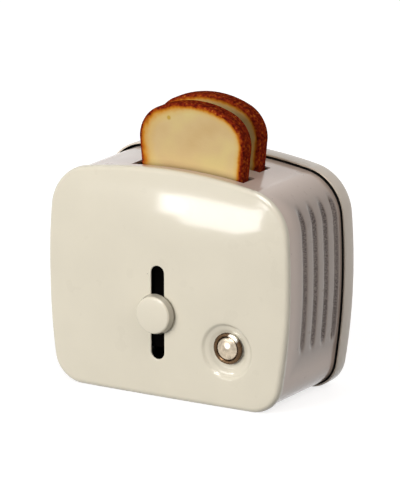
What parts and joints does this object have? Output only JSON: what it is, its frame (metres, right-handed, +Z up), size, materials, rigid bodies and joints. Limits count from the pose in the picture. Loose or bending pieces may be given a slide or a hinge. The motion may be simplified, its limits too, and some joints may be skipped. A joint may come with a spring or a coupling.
{
  "type": "toy toaster",
  "caption": "Toy toaster of pressed enamelled tin with a sliding lever, a stud dial, fluted sides and lift-out bread slices in top slots.",
  "frame": {"origin": "middle of the flat underside", "axes": "+Z up, -Y towards the face with the lever, +X to the right as seen from that face"},
  "size_m": [0.0654, 0.0349, 0.0692],
  "materials": {
    "panel_enamel": "glossy cream enamel",
    "band_enamel": "glossy taupe enamel",
    "knob_enamel": "glossy cream enamel",
    "tinplate": "bare tinplate",
    "rod_steel": "drawn steel",
    "rivet_metal": "bare rivet metal",
    "black_steel": "blackened steel",
    "washer_fibre": "black fibre",
    "bush_brass": "turned brass",
    "stud_nickel": "polished nickel",
    "bread_paint": "painted crumb and glossy crust"
  },
  "bodies": {
    "housing": {"front_panel": "panel_enamel", "body_band": "band_enamel", "rear_panel": "panel_enamel", "base_plate": "tinplate", "base_rivets": "rivet_metal", "rear_clips": "tinplate", "top_strap": "tinplate", "guide_rod_left": "rod_steel", "guide_rod_right": "rod_steel", "rod_collars": "rivet_metal"},
    "carriage": {"lever_knob": "knob_enamel", "lever_stem": "black_steel", "friction_washer": "washer_fibre", "slide_plate": "black_steel", "bread_tray": "tinplate", "tray_rivets": "rivet_metal", "tray_bushes": "bush_brass"},
    "dial": {"dial_cap": "stud_nickel", "dial_post": "rivet_metal", "dial_washer": "rivet_metal"},
    "front_bread": {"front_slice": "bread_paint"},
    "rear_bread": {"rear_slice": "bread_paint"}
  },
  "joints": [
    {"name": "lever_slide", "type": "slide", "parent": "housing", "child": "carriage", "axis": [0, 0, 1], "range_m": [-0.0092, 0.0095]},
    {"name": "front_slice_lift", "type": "slide", "parent": "carriage", "child": "front_bread", "axis": [0, 0, 1], "range_m": [0, 0.03]},
    {"name": "rear_slice_lift", "type": "slide", "parent": "carriage", "child": "rear_bread", "axis": [0, 0, 1], "range_m": [0, 0.03]},
    {"name": "dial_turn", "type": "hinge", "parent": "housing", "child": "dial", "pos_m": [0.01675, -0.0162, 0.0144], "axis": [0, -1, 0], "continuous": true}
  ]
}
